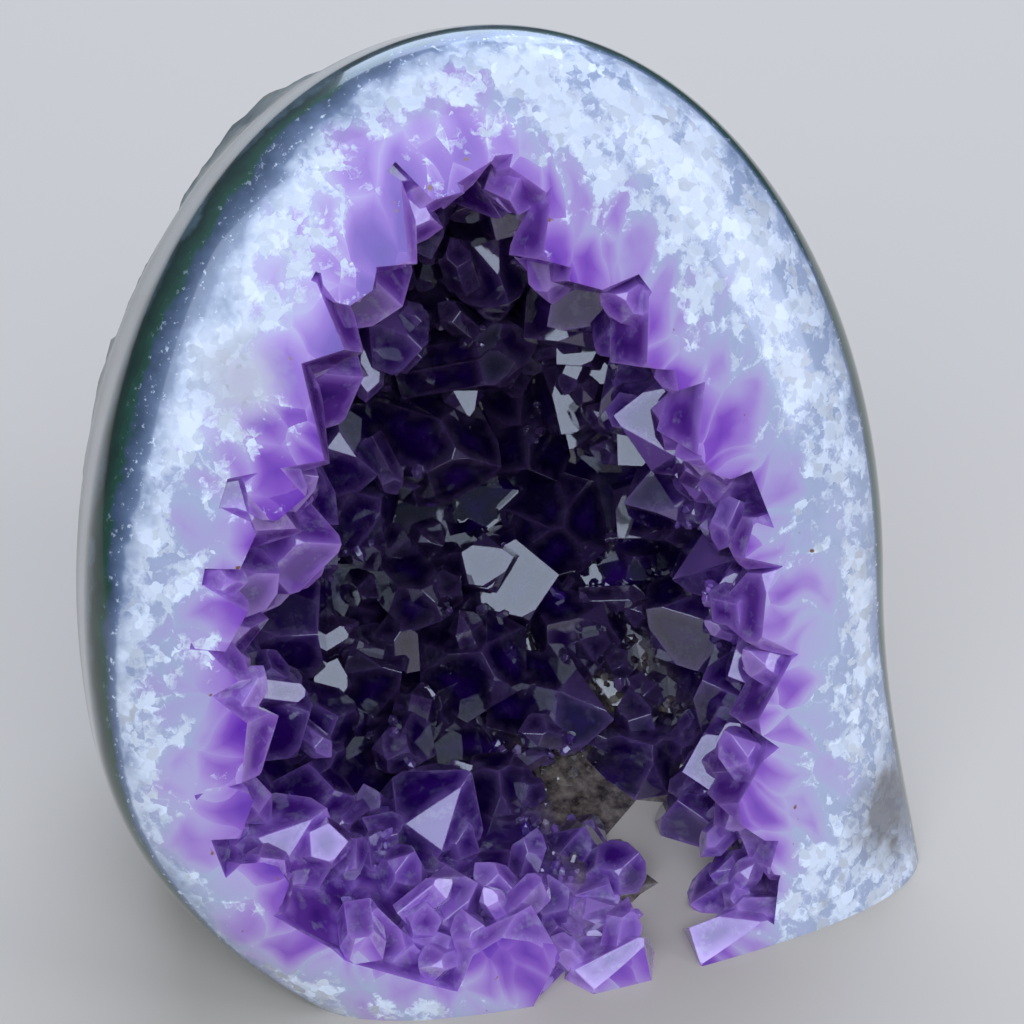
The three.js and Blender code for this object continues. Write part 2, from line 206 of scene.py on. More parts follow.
FINENESS = 1.5  # the crystals' faces are split to this, so that they can hold their tones
SPLITS = 4
CREASE = math.radians(18)  # a bend sharper than this is an edge

# ---- Finishes: widths of their patterns, mm ----
CUT_CRYSTAL = (6, 6, 9)  # a sliced crystal's width, twice, and its length
TORN_OVER, TORN_BY = 1.2, 1.6  # shards have torn outlines
SHARD_WIDTH, FLAKE_WIDTH = 1.4, 0.9
BAND_RIPPLE, AGATE_SPECK, RIND_MOTTLE, IRON_SPECK = 6, 0.9, 7, 2.2
VEIL_WIDTH, FACE_RIPPLE, RIPPLE_DEPTH = 2.5, 1.5, 0.1
MILK_DEPTH = 1.5  # light goes this far into milky quartz
VIOLET_AND_SHADE_FROM, VIOLET_AND_SHADE_TO = 10, 42  # the crystals darken over this depth in the mouth, to a deeper violet and with painted shade, nearly to black
QUARTZ_IOR, AGATE_IOR = 1.544, 1.54

# ---- Studio: metres and watts ----
EYE, LENS = (-0.0758, -0.2407, 0.226), 81.5
LOOKS_DOWN, LOOKS_ASIDE = math.radians(35.6), math.radians(19)
LIT_POINT = (0, 0, 0.05)
SOFTBOXES = (  # name, place, size, power and colour
    ("back softbox", (0.4, 1.1, 1.3), (1.5, 1.1), 24, "#cfe0ff"),
    ("front softbox", (-0.46, -1.26, 1.25), (2.4, 1.2), 26, "#d8e7ff"),
    ("side softbox", (1.3, -0.9, 0.7), (0.5, 1.0), 5, "#dfe9ff"),
)
ROOM_GLOW = 0.4


# ---- The frame of the mouth ----
RIGHT = np.array((1, 0, 0))
UP = np.array((0, math.sin(LEAN), math.cos(LEAN)))
OUT = np.array((0, -math.cos(LEAN), math.sin(LEAN)))
MIDDLE = np.array((*BASE_POINT, 0)) + CENTRE_HEIGHT * UP


def to_part(points):
    """From the mouth's frame, mm, to the part's, m."""
    return (MIDDLE + points @ np.array((RIGHT, UP, OUT))) * MM


def to_mouth(places):
    """From the part's frame, m, to the mouth's, mm."""
    return (places / MM - MIDDLE) @ np.array((RIGHT, UP, OUT)).T


# ---- The forms ----
def smooth_step(values, low, high):
    share = np.clip((values - low) / (high - low), 0, 1)
    return share * share * (3 - 2 * share)


def square_reach(a, b, power):
    return (np.abs(a) ** power + np.abs(b) ** power) ** (-1 / power)


def toe_aside(up):
    """How far the nodule's lower end has swung to the right, and its slant."""
    toe = np.maximum(0, BODY["toe_from"] - up) / (CENTRE_HEIGHT + BODY["toe_from"])
    return BODY["aside"] + BODY["slant"] * up + BODY["toe_swing"] * toe**2


def on_body(ways):
    """The points of the nodule's outer form that lie in some directions."""
    out = ways[:, 2] > 0
    across = np.maximum(np.hypot(ways[:, 0], ways[:, 1]), 1e-9)
    squareness = np.where(out, BODY["front_squareness"], BODY["back_squareness"])
    reach = square_reach(across, ways[:, 2], squareness)
    x, y = ways[:, 0] / across, ways[:, 1] / across
    corner = BODY["lower_right_squareness"] * np.maximum(0, x) * np.maximum(0, -y)
    outline = across * reach * square_reach(x, y, 2 + corner)
    up = y * outline * BODY["half_height"]
    depth = ways[:, 2] * reach * np.where(out, BODY["front"], BODY["back"])
    right = toe_aside(up) + x * outline * BODY["half_width"]
    return np.stack((right, up, BODY["widest_at"] + depth), axis=1)


def roughness_of(points):
    """0 where the skin is polished, and 1 where it is as it grew."""
    return smooth_step(-points[:, 2], -ROUGH_FROM, -ROUGH_FULL_FROM)


def lumpy(points):
    waves = sum(
        height * np.sin(2 * math.pi * points @ (np.array(way) / np.linalg.norm(way)) / length)
        for way, length, height in LUMPS
    )
    reach = np.linalg.norm(points, axis=1)
    return points * (1 + roughness_of(points) * waves / reach)[:, None]


def weathered(points):
    """The rough skin's fine relief: knobs, grain and pits, along the way out of the middle."""
    heights = np.zeros(len(points))
    for index in np.nonzero(roughness_of(points))[0]:
        at = Vector(points[index])
        heights[index] = sum(
            height * noise.noise(at / length) for length, height in GRAIN
        ) - PIT_DEPTH * max(0, noise.noise(at / PIT_SPACING + Vector((9, 0, 0))) - PIT_RARITY)
    share = roughness_of(points) * heights / np.linalg.norm(points, axis=1)
    return points * (1 + share)[:, None]


def on_egg(egg, ways):
    """The points of an egg that lie in some directions."""
    x, y, z = ways[..., 0], ways[..., 1], ways[..., 2]
    behind = -z * np.where(z > 0, egg["front"], egg["back"])
    low = np.maximum(0, -y)
    foot = (np.maximum(0, low - 0.2) / 0.8) ** 3
    wide = 1 + egg["flare"] * smooth_step(-behind, 0, FLARE_LENGTH)
    slope = np.where(behind > 0, egg["sink"], egg["lip"])
    up = egg["at"][1] + y * wide * np.where(y > 0, egg["up"], egg["down"]) + low * behind * slope
    half_width = egg["half_width"] * wide * (1 - egg["taper"] * y) * (1 - egg["pinch"] * foot)
    right = egg["at"][0] + x * half_width + egg["slant"] * behind + egg["shear"] * up
    return np.stack((right + egg["hook"] * foot, up, egg["at"][2] - behind), axis=-1)


# ---- Meshes and solids ----
def ball(name, cuts, rule):
    """A ball of a cube's six grids, whose every corner is moved by a rule, as a new object."""
    grid = bmesh.new()
    bmesh.ops.create_cube(grid, size=2)
    bmesh.ops.subdivide_edges(grid, edges=grid.edges, cuts=cuts - 1, use_grid_fill=True)
    ways = np.tan(np.array([corner.co for corner in grid.verts]) * math.pi / 4)
    ways /= np.linalg.norm(ways, axis=1)[:, None]
    for corner, place in zip(grid.verts, to_part(rule(ways))):
        corner.co = place
    return new_piece(name, grid)


def new_piece(name, shape):
    """A new object whose mesh is a bmesh's."""
    mesh = bpy.data.meshes.new(name)
    shape.to_mesh(mesh)
    shape.free()
    piece = bpy.data.objects.new(name, mesh)
    bpy.context.scene.collection.objects.link(piece)
    return piece


def settle(piece):
    """Puts what a piece's modifiers make of it in place of its mesh."""
    graph = bpy.context.evaluated_depsgraph_get()
    piece.data = bpy.data.meshes.new_from_object(piece.evaluated_get(graph))
    piece.modifiers.clear()


def carve(piece, tools, operation):
    """Cuts a piece by some solids, or to what it shares with them, and removes them."""
    box = bpy.data.collections.new("tools")
    bpy.context.scene.collection.children.link(box)
    for tool in tools:
        box.objects.link(tool)
    modifier = piece.modifiers.new("carve", "BOOLEAN")
    modifier.operand_type = "COLLECTION"
    modifier.collection = box
    modifier.operation = operation
    modifier.solver = "MANIFOLD"
    modifier.material_mode = "TRANSFER"
    settle(piece)
    for tool in tools:
        bpy.data.objects.remove(tool)
    bpy.data.collections.remove(box)


def fill_pockets(piece):
    """Fills the tiny closed pockets that are left between crystals."""
    shape = bmesh.new()
    shape.from_mesh(piece.data)
    left = set(shape.verts)
    skins = []
    while left:
        skin, front = set(), {next(iter(left))}
        while front:
            skin |= front
            front = {edge.other_vert(corner) for corner in front for edge in corner.link_edges} - skin
        left -= skin
        skins.append(skin)
    largest = max(skins, key=len)
    bmesh.ops.delete(
        shape, geom=[corner for corner in shape.verts if corner not in largest], context="VERTS")
    shape.to_mesh(piece.data)
    shape.free()


def under_base():
    """Everything under the saw cut."""
    size = 4 * BODY["half_height"] * MM
    block = bmesh.new()
    bmesh.ops.create_cube(block, size=size)
    bmesh.ops.translate(block, verts=block.verts, vec=(0, 0, -size / 2))
    return new_piece("under_base", block)


# ---- The crystals ----
def random_from(seed):
    """Gives the same numbers from 0 to 1 as the part's own source does."""
    state = seed
    while True:
        state = (state * 1664525 + 1013904223) % 2**32
        yield state / 2**32


def between(numbers, low_high):
    low, high = low_high
    return low + (high - low) * next(numbers)


def any_way(numbers):
    return np.array([next(numbers) - 0.5 for _ in range(3)])


def unit(way):
    way = np.asarray(way, float)
    return way / np.linalg.norm(way)


def crystal_face(turn, slope, distance):
    """A plane with its face turned a way round the axis and up by a slope, at a distance."""
    across = math.cos(slope)
    return np.array((across * math.sin(turn), across * math.cos(turn), math.sin(slope), distance))


def crystal_faces(numbers, radius, rise, root):
    faces = [crystal_face(0, -math.pi / 2, root)]
    for side in range(6):
        turn = side * math.pi / 3
        top = rise + radius * between(numbers, SMALL_FACE if side % 2 else LARGE_FACE)
        faces.append(crystal_face(turn, 0, radius * between(numbers, SIDE_REACH)))
        faces.append(crystal_face(turn, FACE_SLOPE, top * math.sin(FACE_SLOPE)))
    return np.array(faces)


def corners_inside(faces):
    """The corners of the solid that a set of faces encloses."""
    threes = np.array(list(itertools.combinations(faces, 3)))
    threes = threes[np.abs(np.linalg.det(threes[:, :, :3])) > 1e-4]
    corners = np.linalg.solve(threes[:, :, :3], threes[:, :, 3:])[:, :, 0]
    corners = corners[(corners @ faces[:, :3].T <= faces[:, 3] + 1e-5).all(axis=1)]
    return np.unique(corners.round(4), axis=0)


def inward(way):
    """Square to the bed, into the hollow."""
    def nearby(step):
        return on_egg(BED, unit(way + 0.02 * step))

    side = unit((-way[1], way[0], 0))
    other = np.cross(way, side)
    here = on_egg(BED, way)
    normal = unit(np.cross(nearby(side) - here, nearby(other) - here))
    return -normal if normal @ way > 0 else normal


def crystal_spots(numbers):
    """The chief crystals, and then fillers at random wherever one clears all those before it."""
    spots = []
    for tip, points, radius, rise in CHIEF_CRYSTALS:
        axis = unit(points)
        spots.append((np.array(tip) - rise * axis, axis, radius, rise, any_way(numbers) + CHIEF_FACE))
    for tries, radii, rises, spacing in FILLERS:
        for _ in range(tries):
            height = 1 - 2 * next(numbers)
            turn = 2 * math.pi * next(numbers)
            flat = math.sqrt(1 - height**2)
            way = np.array((flat * math.sin(turn), height, flat * math.cos(turn)))
            radius = between(numbers, radii)
            rise = between(numbers, rises)
            foot = on_egg(BED, way)
            over_opening = foot[1] < BARE_UNDER and BARE_FROM < foot[0] < BARE_TO
            crowded = any(
                np.linalg.norm(spot[0] - foot) < spacing * (spot[2] + radius) for spot in spots
            )
            if foot[2] > FURTHEST_OUT or over_opening or crowded:
                continue
            axis = unit(any_way(numbers) * STRAY + inward(way))
            spots.append((foot, axis, radius, rise, any_way(numbers)))
    return spots


def solid_crystal(places):
    """The solid between some corners, in metres, with its edges worn."""
    shape = bmesh.new()
    for place in places:
        shape.verts.new(place)
    bmesh.ops.convex_hull(shape, input=shape.verts)
    bmesh.ops.recalc_face_normals(shape, faces=shape.faces)
    bmesh.ops.dissolve_limit(
        shape, angle_limit=math.radians(1), verts=shape.verts, edges=shape.edges)
    bmesh.ops.bevel(
        shape, geom=shape.edges, offset=WORN_EDGE * MM / 2, affect="EDGES", clamp_overlap=True,
        material=1)
    return mark(new_piece("crystal", shape), "facet", "worn")


def crystal(spot, numbers):
    """A crystal on its foot, with its first side, a large one, turned towards a given side."""
    foot, axis, radius, rise, towards = spot
    side = unit(towards - axis * (towards @ axis))
    corners = corners_inside(crystal_faces(numbers, radius, rise, ROOT))
    return solid_crystal(to_part(foot + corners @ np.array((side, np.cross(axis, side), axis))))


def companions(spots, numbers):
    """Smaller crystals, grown along the sides of some crystals and pointing almost the same way."""
    grown = []
    for foot, axis, radius, rise, towards in spots:
        for _ in range(round(between(numbers, COMPANIONS))):
            side = unit(np.cross(axis, any_way(numbers)))
            share = between(numbers, (0.35, 0.7))
            place = foot + side * radius * between(numbers, (0.5, 0.85))
            tilt = unit(axis + 0.12 * any_way(numbers))
            grown.append((place, tilt, radius * share, rise * between(numbers, (0.55, 0.85)), towards))
    return grown


def placed(table):
    """Crystals given by their tip, the way they point, their radius and their rise."""
    for tip, points, radius, rise in table:
        axis = unit(points)
        yield np.array(tip) - rise * axis, axis, radius, rise, np.array(CHIEF_FACE)


def offshoots(room, kind, numbers):
    """Smaller crystals, on the bare bed or in the sheltered corners between the large ones."""
    place, tries, radii, rises, spacing, openest, deepest = kind
    slot = room.data.materials.find(place)
    room.data.calc_loop_triangles()
    corners = np.array([corner.co for corner in room.data.vertices])
    all_threes = [three.vertices[:] for three in room.data.loop_triangles]
    threes = np.array([
        three.vertices[:] for three in room.data.loop_triangles if three.material_index == slot])
    a, b, c = (to_mouth(corners[threes[:, k]]) for k in range(3))
    crosses = np.cross(b - a, c - a)
    areas = np.linalg.norm(crosses, axis=1)
    running = np.cumsum(areas)
    surface = BVHTree.FromPolygons([tuple(p) for p in to_mouth(corners)], all_threes)
    grown = []
    for _ in range(tries):
        at = np.searchsorted(running, next(numbers) * running[-1])
        u, v = sorted((next(numbers), next(numbers)))
        foot = a[at] * u + b[at] * (v - u) + c[at] * (1 - v)
        normal = -crosses[at] / max(areas[at], 1e-9)
        radius = between(numbers, radii)
        rise = between(numbers, rises)
        openness = surface.find_nearest(Vector(foot + normal * rise))[3] / rise
        crowded = any(
            np.linalg.norm(spot[0] - foot) < spacing * (spot[2] + radius) for spot in grown)
        over_opening = foot[1] < BARE_UNDER and BARE_FROM < foot[0] < BARE_TO
        if openness > openest or crowded or over_opening or not -deepest < foot[2] < 0:
            continue
        axis = unit(any_way(numbers) * STRAY * 1.6 + normal)
        grown.append((foot, axis, radius, rise, any_way(numbers)))
    return grown


# ---- The geode ----
def skin_ball(name, sink=0):
    """The nodule's outer form, sunk by a little."""
    skin = ball(name, SKIN_GRID, lambda ways: weathered(lumpy(on_body(ways))))
    if sink:
        normals = [corner.normal.copy() for corner in skin.data.vertices]
        for corner, normal in zip(skin.data.vertices, normals):
            corner.co -= normal * sink * MM
    return skin


def mark(piece, *names):
    """Gives a tool's faces slots of their own, to tell them by after a cut."""
    for name in names:
        piece.data.materials.append(bpy.data.materials.get(name) or bpy.data.materials.new(name))
    return piece


def faces_of(piece, name):
    """1 for each face that a marked tool left on a piece, and 0 for the rest."""
    slots = np.zeros(len(piece.data.polygons), int)
    piece.data.polygons.foreach_get("material_index", slots)
    return (slots == piece.data.materials.find(name)).astype(float)


def note(piece, name, values, kind="FLOAT", domain="POINT"):
    """Keeps a number or a vector for each corner or face of a piece, for its material to read."""
    field = "vector" if kind == "FLOAT_VECTOR" else "value"
    piece.data.attributes.new(name, kind, domain).data.foreach_set(field, np.ravel(values))


def corners_of(piece):
    """A piece's corners in the frame of the mouth."""
    places = np.zeros(len(piece.data.vertices) * 3)
    piece.data.vertices.foreach_get("co", places)
    return to_mouth(places.reshape(-1, 3))


def distance_to(piece, points):
    """How far each point is from a piece's surface, both in the frame of the mouth."""
    faces = [face.vertices[:] for face in piece.data.polygons]
    surface = BVHTree.FromPolygons([tuple(p) for p in corners_of(piece)], faces)
    return np.array([surface.find_nearest(Vector(point))[3] for point in points])


def under_skin(points):
    """How deep each point lies inside the mouth's outline, and its turn round the mouth."""
    right = (points[:, 0] - toe_aside(points[:, 1])) / BODY["half_width"]
    up = points[:, 1] / BODY["half_height"]
    squareness = 2 + BODY["lower_right_squareness"] * np.clip(right, 0, 1) * np.clip(-up, 0, 1)
    share = 1 / square_reach(right, np.where(up == 0, 1e-9, up), squareness)
    reach = np.hypot(right * BODY["half_width"], up * BODY["half_height"])
    return reach * (1 / share - 1), np.arctan2(up, right)


def towards(turn, degrees, sharpness):
    """1 where the rim lies this way from the middle, and less and less beside it."""
    return np.maximum(0, np.cos(turn - math.radians(degrees))) ** sharpness


def bands(depth, turn):
    """Which band of the stone a point lies in: 0 to 1 the rind, to 2 the agate, and then quartz."""
    rind = RIND["upper_left"] * towards(turn, 150, 3) + RIND["right"] * towards(turn, 10, 3)
    rind += RIND["least"]
    agate = AGATE["upper_left"] * towards(turn, 135, 7) + AGATE["left"] * towards(turn, 175, 5)
    agate += AGATE["least"]
    inner = 2 + (depth - rind - agate) / QUARTZ_WIDTH
    return np.where(depth < rind, depth / rind, np.where(
        depth < rind + agate, 1 + (depth - rind) / agate, inner))


def clouds(points, width, shift):
    """Soft clouds of about this width through the stone, from about 0 to 1 round a half."""
    places = points / width + shift
    return np.array([0.5 + CLOUDINESS * noise.fractal(place, 0.7, 2, 3) for place in places])


def note_growth(piece, root_face, side):
    """Keeps how far each corner is from the root face, where it is round and across the rim, and
    the clouds there."""
    points = corners_of(piece)
    depth, turn = under_skin(points)
    reach = side * distance_to(root_face, points)
    late = WHITE_QUARTZ["right"] * towards(turn, 5, 3) + WHITE_QUARTZ["left"] * towards(turn, 175, 4)
    late += WHITE_QUARTZ["lower_right"] * towards(turn, -40, 6)
    cloud = clouds(points, CLOUD_WIDTH, 0)
    note(piece, "from_stone", reach)
    note(piece, "growth", reach + RIPENING * cloud - late)
    around = BODY["half_width"] * np.stack((np.cos(turn), np.sin(turn)), axis=1)
    bend = BENT_BY * np.array([noise.noise_vector(point / BENT_OVER) for point in points])
    note(piece, "around", np.column_stack((around, depth)) + bend, "FLOAT_VECTOR")
    note(piece, "cloud", cloud)
    snow = SNOW["upper_left"] * towards(turn, 115, 2) - SNOW["less_right"] * towards(turn, 0, 3)
    note(piece, "frost", clouds(points, FROST_WIDTH, 40) + snow)
    return points, depth, turn


def stone_wall():
    wall = mark(skin_ball("banded_wall"), "skin")
    root_face = ball("hollow", 24, lambda ways: on_egg(INNER_FACE, ways))
    hollow = root_face.copy()
    hollow.data = root_face.data.copy()
    carve(wall, [mark(hollow, "inside"), mark(under_base(), "sawn")], "DIFFERENCE")
    points, depth, turn = note_growth(wall, root_face, -1)
    bpy.data.objects.remove(root_face)
    on_skin = np.zeros(len(points), bool)
    for face, is_skin in zip(wall.data.polygons, faces_of(wall, "skin")):
        if is_skin:
            on_skin[list(face.vertices)] = True
    behind = BODY["widest_at"] - points[:, 2]
    note(wall, "band", bands(np.where(on_skin & (behind > 0), 0, depth), turn))
    note(wall, "rough", roughness_of(points))
    weathering = np.maximum(roughness_of(points), 0.7 * smooth_step(behind, 1, 9))
    note(wall, "weathered", np.where(on_skin, weathering, 0))
    note(wall, "sawn", faces_of(wall, "sawn"), domain="FACE")
    wall.data.polygons.foreach_set("use_smooth", faces_of(wall, "skin") > 0)
    finish(wall, (weathered_stone(),), np.zeros(len(wall.data.polygons)))
    return wall


def refine(piece, *names):
    """Splits the faces that some marked tools left, until few edges are long. No surface moves."""
    slots = [piece.data.materials.find(name) for name in names]
    shape = bmesh.new()
    shape.from_mesh(piece.data)
    for _ in range(SPLITS):
        faces = [face for face in shape.faces if face.material_index in slots]
        bmesh.ops.triangulate(shape, faces=faces)
        long = [
            edge for edge in shape.edges
            if edge.calc_length() > FINENESS * MM
            and all(face.material_index in slots for face in edge.link_faces)
        ]
        bmesh.ops.subdivide_edges(shape, edges=long, cuts=1)
    bmesh.ops.triangulate(shape, faces=shape.faces)
    shape.to_mesh(piece.data)
    shape.free()


def note_facets(piece):
    """Keeps how far each corner is from a crest and from a valley, and how thick the crystal is."""
    shape = bmesh.new()
    shape.from_mesh(piece.data)
    shape.edges.ensure_lookup_table()
    bends = [edge.calc_face_angle_signed(0) for edge in shape.edges]
    for name, sign in (("from_crest", 1), ("from_valley", -1)):
        creases = [edge for edge, bend in zip(shape.edges, bends) if bend * sign > CREASE]
        tree = KDTree(3 * len(creases))
        for edge in creases:
            for share in (0, 0.33, 0.67):
                tree.insert(Vector(edge.verts[0].co).lerp(edge.verts[1].co, share), 0)
        tree.balance()
        note(piece, name, [tree.find(corner.co)[2] / MM for corner in shape.verts])
    surface = BVHTree.FromBMesh(shape)
    thickness = []
    for corner in shape.verts:
        hit = surface.ray_cast(corner.co - corner.normal * 0.1 * MM, -corner.normal)
        thickness.append(0 if hit[3] is None else hit[3] / MM)
    note(piece, "thickness", thickness)
    shape.free()


def crystal_crust():
    wider = dict(INNER_FACE)
    for key in ("half_width", "up", "down", "back"):
        wider[key] += LAP
    crust = mark(ball("crystal_crust", 16, lambda ways: on_egg(wider, ways)), "inside")
    carve(crust, [mark(skin_ball("skin", FLUSH), "skin")], "INTERSECT")
    room = mark(ball("room", 6, lambda ways: on_egg(BED, ways)), "bed")
    numbers = random_from(SEED)
    spots = crystal_spots(numbers)
    carve(room, [crystal(spot, numbers) for spot in spots], "DIFFERENCE")
    more = companions(spots, numbers) + list(placed(EXTRA_CRYSTALS))
    carve(room, [crystal(spot, numbers) for spot in more], "DIFFERENCE")
    for kind in OFFSHOOTS:
        carve(room, [crystal(spot, numbers) for spot in offshoots(room, kind, numbers)], "DIFFERENCE")
    carve(room, [crystal(spot, numbers) for spot in placed(EDGE_CRYSTALS)], "DIFFERENCE")
    carve(crust, [room, mark(under_base(), "sawn")], "DIFFERENCE")
    fill_pockets(crust)
    refine(crust, "facet", "bed")
    root_face = ball("root_face", 16, lambda ways: on_egg(INNER_FACE, ways))
    points, _, turn = note_growth(crust, root_face, 1)
    note_facets(crust)
    # how deep in the mouth each corner lies, less on the left; it sets the crystals' deeper violet and
    # their painted shade
    note(crust, "inward", -points[:, 2] - PALER_AND_LESS_SHADED_ON_THE_LEFT * towards(turn, 155, 3))
    aside = (points[:, 0] - (BARE_FROM + BARE_TO) / 2) / (BARE_TO - BARE_FROM)
    note(crust, "bare", smooth_step(-points[:, 1], 8, 26) * (1 - smooth_step(np.abs(aside), 0.6, 1.1)))
    for name in ("facet", "bed", "sawn"):
        note(crust, name, faces_of(crust, name), domain="FACE")
    crust.data.polygons.foreach_set("use_smooth", faces_of(crust, "skin") > 0)
    bpy.data.objects.remove(root_face)
    cut = faces_of(crust, "skin") + faces_of(crust, "sawn") + faces_of(crust, "inside")
    finish(crust, (amethyst("amethyst crystals"), cut_amethyst()), cut)
    return crust


def druse_tree():
    """Small crystals, in patches along the valleys between large ones and on the bare bed."""
    tree = bpy.data.node_groups.new("small crystals in the valleys", "GeometryNodeTree")
    tree.interface.new_socket("Crystals", in_out="OUTPUT", socket_type="NodeSocketGeometry")
    for name, kind, value in (
        ("Crust", "Geometry", None),
        ("Kinds", "Collection", None),
        ("Finish", "Material", None),
        ("Spacing", "Float", 1.3 * MM),
        ("Reach from a valley, mm", "Float", 0.9),
        ("Least depth in the mouth, mm", "Float", 3),
        ("Least height over the base", "Float", 1.8 * MM),
        ("Patch width", "Float", 7 * MM),
        ("Share of patches left out", "Float", 0.6),
        ("Smallest", "Float", 0.35),
        ("Largest", "Float", 1.0),
        ("Tilt", "Float", 0.7),
        ("Seed", "Int", SEED),
    ):
        made = tree.interface.new_socket(name, in_out="INPUT", socket_type="NodeSocket" + kind)
        if value is not None:
            made.default_value = value
    given = add(tree, "NodeGroupInput").outputs
    from_valley, facet, bed, bare, inward = (
        add(tree, "GeometryNodeInputNamedAttribute", {"Name": name}).outputs["Attribute"]
        for name in ("from_valley", "facet", "bed", "bare", "inward"))
    # where they stand
    in_valley = add(
        tree, "FunctionNodeCompare", (from_valley, given["Reach from a valley, mm"]),
        operation="LESS_THAN")
    scale = add(tree, "ShaderNodeMath", (1, given["Patch width"]), operation="DIVIDE")
    patch = add(tree, "ShaderNodeTexNoise", {"Scale": scale, "Detail": 1}).outputs["Fac"]
    in_patch = add(
        tree, "FunctionNodeCompare", (patch, given["Share of patches left out"]),
        operation="GREATER_THAN")
    deep = add(
        tree, "FunctionNodeCompare", (inward, given["Least depth in the mouth, mm"]),
        operation="GREATER_THAN")
    position = add(tree, "ShaderNodeSeparateXYZ", (add(tree, "GeometryNodeInputPosition"),))
    high = add(
        tree, "FunctionNodeCompare", (position.outputs["Z"], given["Least height over the base"]),
        operation="GREATER_THAN")
    sheltered = add(tree, "FunctionNodeBooleanMath", (in_valley, in_patch), operation="AND")
    sheltered = add(tree, "FunctionNodeBooleanMath", (sheltered, facet), operation="AND")
    on_bare_bed = add(tree, "FunctionNodeBooleanMath", (bed, bare), operation="AND")
    chosen = add(tree, "FunctionNodeBooleanMath", (sheltered, on_bare_bed), operation="OR")
    for condition in (deep, high):
        chosen = add(tree, "FunctionNodeBooleanMath", (chosen, condition), operation="AND")
    density = add(tree, "ShaderNodeMath", (given["Spacing"], -2), operation="POWER")
    points = add(tree, "GeometryNodeDistributePointsOnFaces", {
        "Mesh": given["Crust"], "Selection": chosen, "Distance Min": given["Spacing"],
        "Density Max": density, "Seed": given["Seed"]}, distribute_method="POISSON")
    # how each of them stands, and which it is
    no_tilt = add(tree, "ShaderNodeMath", (given["Tilt"], -1), operation="MULTIPLY")
    lean = add(tree, "FunctionNodeRandomValue", {
        0: no_tilt, 1: given["Tilt"], "Seed": given["Seed"]}, data_type="FLOAT_VECTOR")
    leaned = add(tree, "FunctionNodeEulerToRotation", (lean.outputs[0],))
    turned = add(
        tree, "FunctionNodeRotateRotation", (points.outputs["Rotation"], leaned),
        rotation_space="LOCAL")
    size = add(tree, "FunctionNodeRandomValue", {
        2: given["Smallest"], 3: given["Largest"], "Seed": given["Seed"]}, data_type="FLOAT")
    kinds = add(tree, "GeometryNodeCollectionInfo", (given["Kinds"], True, True))
    grown = add(tree, "GeometryNodeInstanceOnPoints", {
        "Points": points.outputs["Points"], "Instance": kinds, "Pick Instance": True,
        "Rotation": turned, "Scale": size.outputs[1]})
    solid = add(tree, "GeometryNodeRealizeInstances", (grown,))
    done = add(tree, "GeometryNodeSetMaterial", {0: solid, 2: given["Finish"]})
    add(tree, "NodeGroupOutput", (done,))
    return tree


def druse(crust):
    """The small crystals that grow on the crust, between the large ones."""
    numbers = random_from(SEED)
    kinds = bpy.data.collections.new("kinds of small crystal")
    for _ in range(DRUSE_KINDS):
        radius, rise = between(numbers, (0.7, 1)), between(numbers, (1.2, 2.2))
        shape = solid_crystal(corners_inside(crystal_faces(numbers, radius, rise, 0.5)) * MM)
        kinds.objects.link(shape)
    small = bpy.data.objects.new("crystal_druse", crust.data.copy())
    bpy.context.scene.collection.objects.link(small)
    modifier = small.modifiers.new("druse", "NODES")
    modifier.node_group = druse_tree()
    values = {"Kinds": kinds, "Finish": amethyst("small amethysts", clear_through=False)}
    for socket in modifier.node_group.interface.items_tree:
        if socket.name in values:
            modifier[socket.identifier] = values[socket.name]
    settle(small)
    for shape in list(kinds.objects):
        bpy.data.objects.remove(shape)
    bpy.data.collections.remove(kinds)
    small.data.set_sharp_from_angle(angle=CREASE)
    return small


def finish(piece, materials, which):
    """Gives each face of a piece one of some materials, and keeps the edges of flat faces sharp."""
    piece.data.materials.clear()
    for material in materials:
        piece.data.materials.append(material)
    piece.data.polygons.foreach_set("material_index", which.astype(int))
    piece.data.set_sharp_from_angle(angle=CREASE)


# ---- Materials ----
def colour(code):
    """A colour from its sRGB hex code, turned linear."""
    channels = (int(code[i:i + 2], 16) / 255 for i in (1, 3, 5))
    return (*(c / 12.92 if c < 0.04045 else ((c + 0.055) / 1.055) ** 2.4 for c in channels), 1)


def add(tree, kind, inputs=(), stops=(), **settings):
    """Adds a node with its settings. Its inputs come in order, or by name or number. Each takes a
    plain value, or the output that feeds it, or a node, whose first output in use then feeds it.
    A colour ramp takes its stops."""
    made = tree.nodes.new(kind)
    for name, value in settings.items():
        setattr(made, name, value)
    for key, value in inputs.items() if isinstance(inputs, dict) else enumerate(inputs):
        if isinstance(value, bpy.types.Node):
            value = next(output for output in value.outputs if output.enabled)
        if isinstance(value, bpy.types.NodeSocket):
            tree.links.new(value, made.inputs[key])
        else:
            made.inputs[key].default_value = value
    for index, (place, code) in enumerate(stops):
        ramp = made.color_ramp.elements
        if index == 0:
            ramp.remove(ramp[1])
            ramp[0].position = place
        stop = ramp.new(place) if index else ramp[0]
        stop.color = colour(code)
    return made


def new_material(name):
    material = bpy.data.materials.new(name)
    material.use_nodes = True
    material.node_tree.nodes.clear()
    return material, material.node_tree


def per_mm(width):
    """The scale that gives a pattern on Object coordinates features of about this width, mm."""
    return 1 / (width * MM)


def patch_round(tree, place, patch):
    """1 in the middle of a patch of the rim, and 0 outside it."""
    *middle, radius = patch
    away = add(
        tree, "ShaderNodeVectorMath", (place, to_part(np.array(middle))), operation="DISTANCE")
    return add(tree, "ShaderNodeMapRange", (
        away.outputs["Value"], 0.4 * radius * MM, radius * MM, 1, 0))


